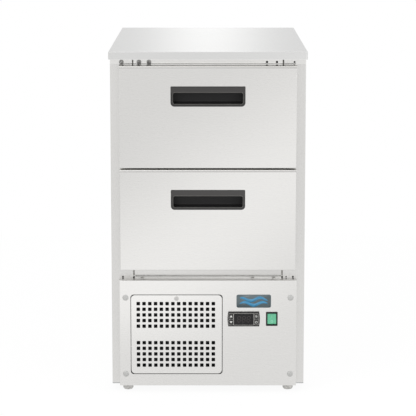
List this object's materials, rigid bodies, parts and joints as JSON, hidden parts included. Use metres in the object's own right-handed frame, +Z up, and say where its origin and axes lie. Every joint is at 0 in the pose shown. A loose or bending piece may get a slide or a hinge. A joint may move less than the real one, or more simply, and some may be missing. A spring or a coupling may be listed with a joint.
{
  "type": "drawer counter fridge",
  "caption": "Stainless steel counter fridge with a flat worktop, full-extension drawers with moulded pocket handles, and a machine compartment with vent flap and controls.",
  "frame": {"origin": "on the floor, below the middle of the worktop", "axes": "+Z up, -Y out of the front with the drawers, +X to the right as seen from the front"},
  "size_m": [0.435, 0.7, 0.77],
  "materials": {
    "stainless_steel": "brushed",
    "stainless_worktop": "satin",
    "galvanised_steel": "satin",
    "zinc_screw": "satin",
    "foam_core": "matte",
    "drawer_back": "matte",
    "handle_plastic": "gloss",
    "gasket_rubber": "matte",
    "cap_plastic": "gloss",
    "plug_plastic": "gloss",
    "controller_plastic": "gloss",
    "controller_window": "gloss",
    "key_plastic": "matte",
    "switch_plastic": "matte",
    "rocker_green": "gloss",
    "badge_grey": "satin",
    "gland_plastic": "matte",
    "foot_steel": "satin",
    "filter_mesh": "matte",
    "coil_aluminium": "satin",
    "black_paint": "satin",
    "fan_blade_plastic": "matte",
    "mount_rubber": "matte",
    "copper_tube": "satin",
    "tray_plastic": "matte"
  },
  "bodies": {
    "cabinet": {"air_filter": "filter_mesh", "badge_plate": "badge_grey", "base_plate": "galvanised_steel", "cable_gland": "gland_plastic", "compressor": "black_paint", "compressor_mounts": "mount_rubber", "condenser": "coil_aluminium", "condenser_fan_motor": "black_paint", "condenser_fan_shroud": "galvanised_steel", "controller_housing": "controller_plastic", "controller_lens": "controller_window", "drip_tray": "tray_plastic", "evaporator": "coil_aluminium", "evaporator_cover": "stainless_steel", "evaporator_fan_motor": "black_paint", "inner_liner": "stainless_steel", "insulation": "foam_core", "left_side_panel": "stainless_steel", "lower_front_panel": "stainless_steel", "lower_rail": "stainless_steel", "machine_ceiling": "galvanised_steel", "mullion": "stainless_steel", "panel_screw_caps": "cap_plastic", "panel_screws": "zinc_screw", "rail_plugs": "plug_plastic", "rear_grille": "galvanised_steel", "rear_panel": "galvanised_steel", "refrigerant_pipes": "copper_tube", "right_side_panel": "stainless_steel", "runner_outer_members": "galvanised_steel", "switch_bezel": "switch_plastic", "top_rail": "stainless_steel", "worktop": "stainless_worktop"},
    "upper_drawer": {"upper_drawer_skin": "stainless_steel", "upper_drawer_infill": "drawer_back", "upper_drawer_gasket": "gasket_rubber", "upper_drawer_handle": "handle_plastic", "upper_pan_carrier": "stainless_steel", "upper_runner_inner": "galvanised_steel"},
    "upper_runner_slide": {"upper_runner_middle": "galvanised_steel"},
    "lower_drawer": {"lower_drawer_skin": "stainless_steel", "lower_drawer_infill": "drawer_back", "lower_drawer_gasket": "gasket_rubber", "lower_drawer_handle": "handle_plastic", "lower_pan_carrier": "stainless_steel", "lower_runner_inner": "galvanised_steel"},
    "lower_runner_slide": {"lower_runner_middle": "galvanised_steel"},
    "vent_flap": {"grille_flap": "stainless_steel", "flap_screw": "zinc_screw"},
    "power_rocker": {"switch_rocker": "rocker_green"},
    "key_upper_left": {"key_upper_left": "key_plastic"},
    "key_lower_left": {"key_lower_left": "key_plastic"},
    "key_upper_right": {"key_upper_right": "key_plastic"},
    "key_lower_right": {"key_lower_right": "key_plastic"},
    "condenser_fan": {"condenser_fan_blade": "fan_blade_plastic"},
    "evaporator_fan": {"evaporator_fan_blade": "fan_blade_plastic"},
    "foot_front_left": {"foot_front_left": "foot_steel"},
    "foot_front_right": {"foot_front_right": "foot_steel"},
    "foot_rear_left": {"foot_rear_left": "foot_steel"},
    "foot_rear_right": {"foot_rear_right": "foot_steel"}
  },
  "joints": [
    {"name": "upper_drawer_slide", "type": "slide", "parent": "cabinet", "child": "upper_drawer", "axis": [0, -1, 0], "range_m": [0, 0.54]},
    {"name": "upper_runner_middle_slide", "type": "slide", "parent": "cabinet", "child": "upper_runner_slide", "axis": [0, -1, 0], "range_m": [0, 0.27]},
    {"name": "lower_drawer_slide", "type": "slide", "parent": "cabinet", "child": "lower_drawer", "axis": [0, -1, 0], "range_m": [0, 0.54]},
    {"name": "lower_runner_middle_slide", "type": "slide", "parent": "cabinet", "child": "lower_runner_slide", "axis": [0, -1, 0], "range_m": [0, 0.27]},
    {"name": "flap_hinge", "type": "hinge", "parent": "cabinet", "child": "vent_flap", "pos_m": [0, -0.332, 0.0493], "axis": [1, 0, 0], "range_deg": [0, 45]},
    {"name": "rocker_pivot", "type": "hinge", "parent": "cabinet", "child": "power_rocker", "pos_m": [0.1426, -0.3342, 0.1717], "axis": [1, 0, 0], "range_deg": [0, 20]},
    {"name": "key_upper_left_press", "type": "slide", "parent": "cabinet", "child": "key_upper_left", "axis": [0, 1, 0], "range_m": [0, 0.0005], "stiffness_N_per_m": 800},
    {"name": "key_lower_left_press", "type": "slide", "parent": "cabinet", "child": "key_lower_left", "axis": [0, 1, 0], "range_m": [0, 0.0005], "stiffness_N_per_m": 800},
    {"name": "key_upper_right_press", "type": "slide", "parent": "cabinet", "child": "key_upper_right", "axis": [0, 1, 0], "range_m": [0, 0.0005], "stiffness_N_per_m": 800},
    {"name": "key_lower_right_press", "type": "slide", "parent": "cabinet", "child": "key_lower_right", "axis": [0, 1, 0], "range_m": [0, 0.0005], "stiffness_N_per_m": 800},
    {"name": "condenser_fan_spin", "type": "hinge", "parent": "cabinet", "child": "condenser_fan", "pos_m": [-0.0703, -0.234, 0.1215], "axis": [0, 1, 0], "continuous": true},
    {"name": "evaporator_fan_spin", "type": "hinge", "parent": "cabinet", "child": "evaporator_fan", "pos_m": [0, 0.2625, 0.6438], "axis": [0, 1, 0], "continuous": true},
    {"name": "foot_front_left_turn", "type": "hinge", "parent": "cabinet", "child": "foot_front_left", "pos_m": [-0.181, -0.292, 0.02], "axis": [0, 0, 1], "continuous": true},
    {"name": "foot_front_right_turn", "type": "hinge", "parent": "cabinet", "child": "foot_front_right", "pos_m": [0.181, -0.292, 0.02], "axis": [0, 0, 1], "continuous": true},
    {"name": "foot_rear_left_turn", "type": "hinge", "parent": "cabinet", "child": "foot_rear_left", "pos_m": [-0.181, 0.292, 0.02], "axis": [0, 0, 1], "continuous": true},
    {"name": "foot_rear_right_turn", "type": "hinge", "parent": "cabinet", "child": "foot_rear_right", "pos_m": [0.181, 0.292, 0.02], "axis": [0, 0, 1], "continuous": true}
  ],
  "couplings": [
    {"joint": "upper_runner_middle_slide", "follows": "upper_drawer_slide", "ratio": 0.5},
    {"joint": "lower_runner_middle_slide", "follows": "lower_drawer_slide", "ratio": 0.5}
  ]
}
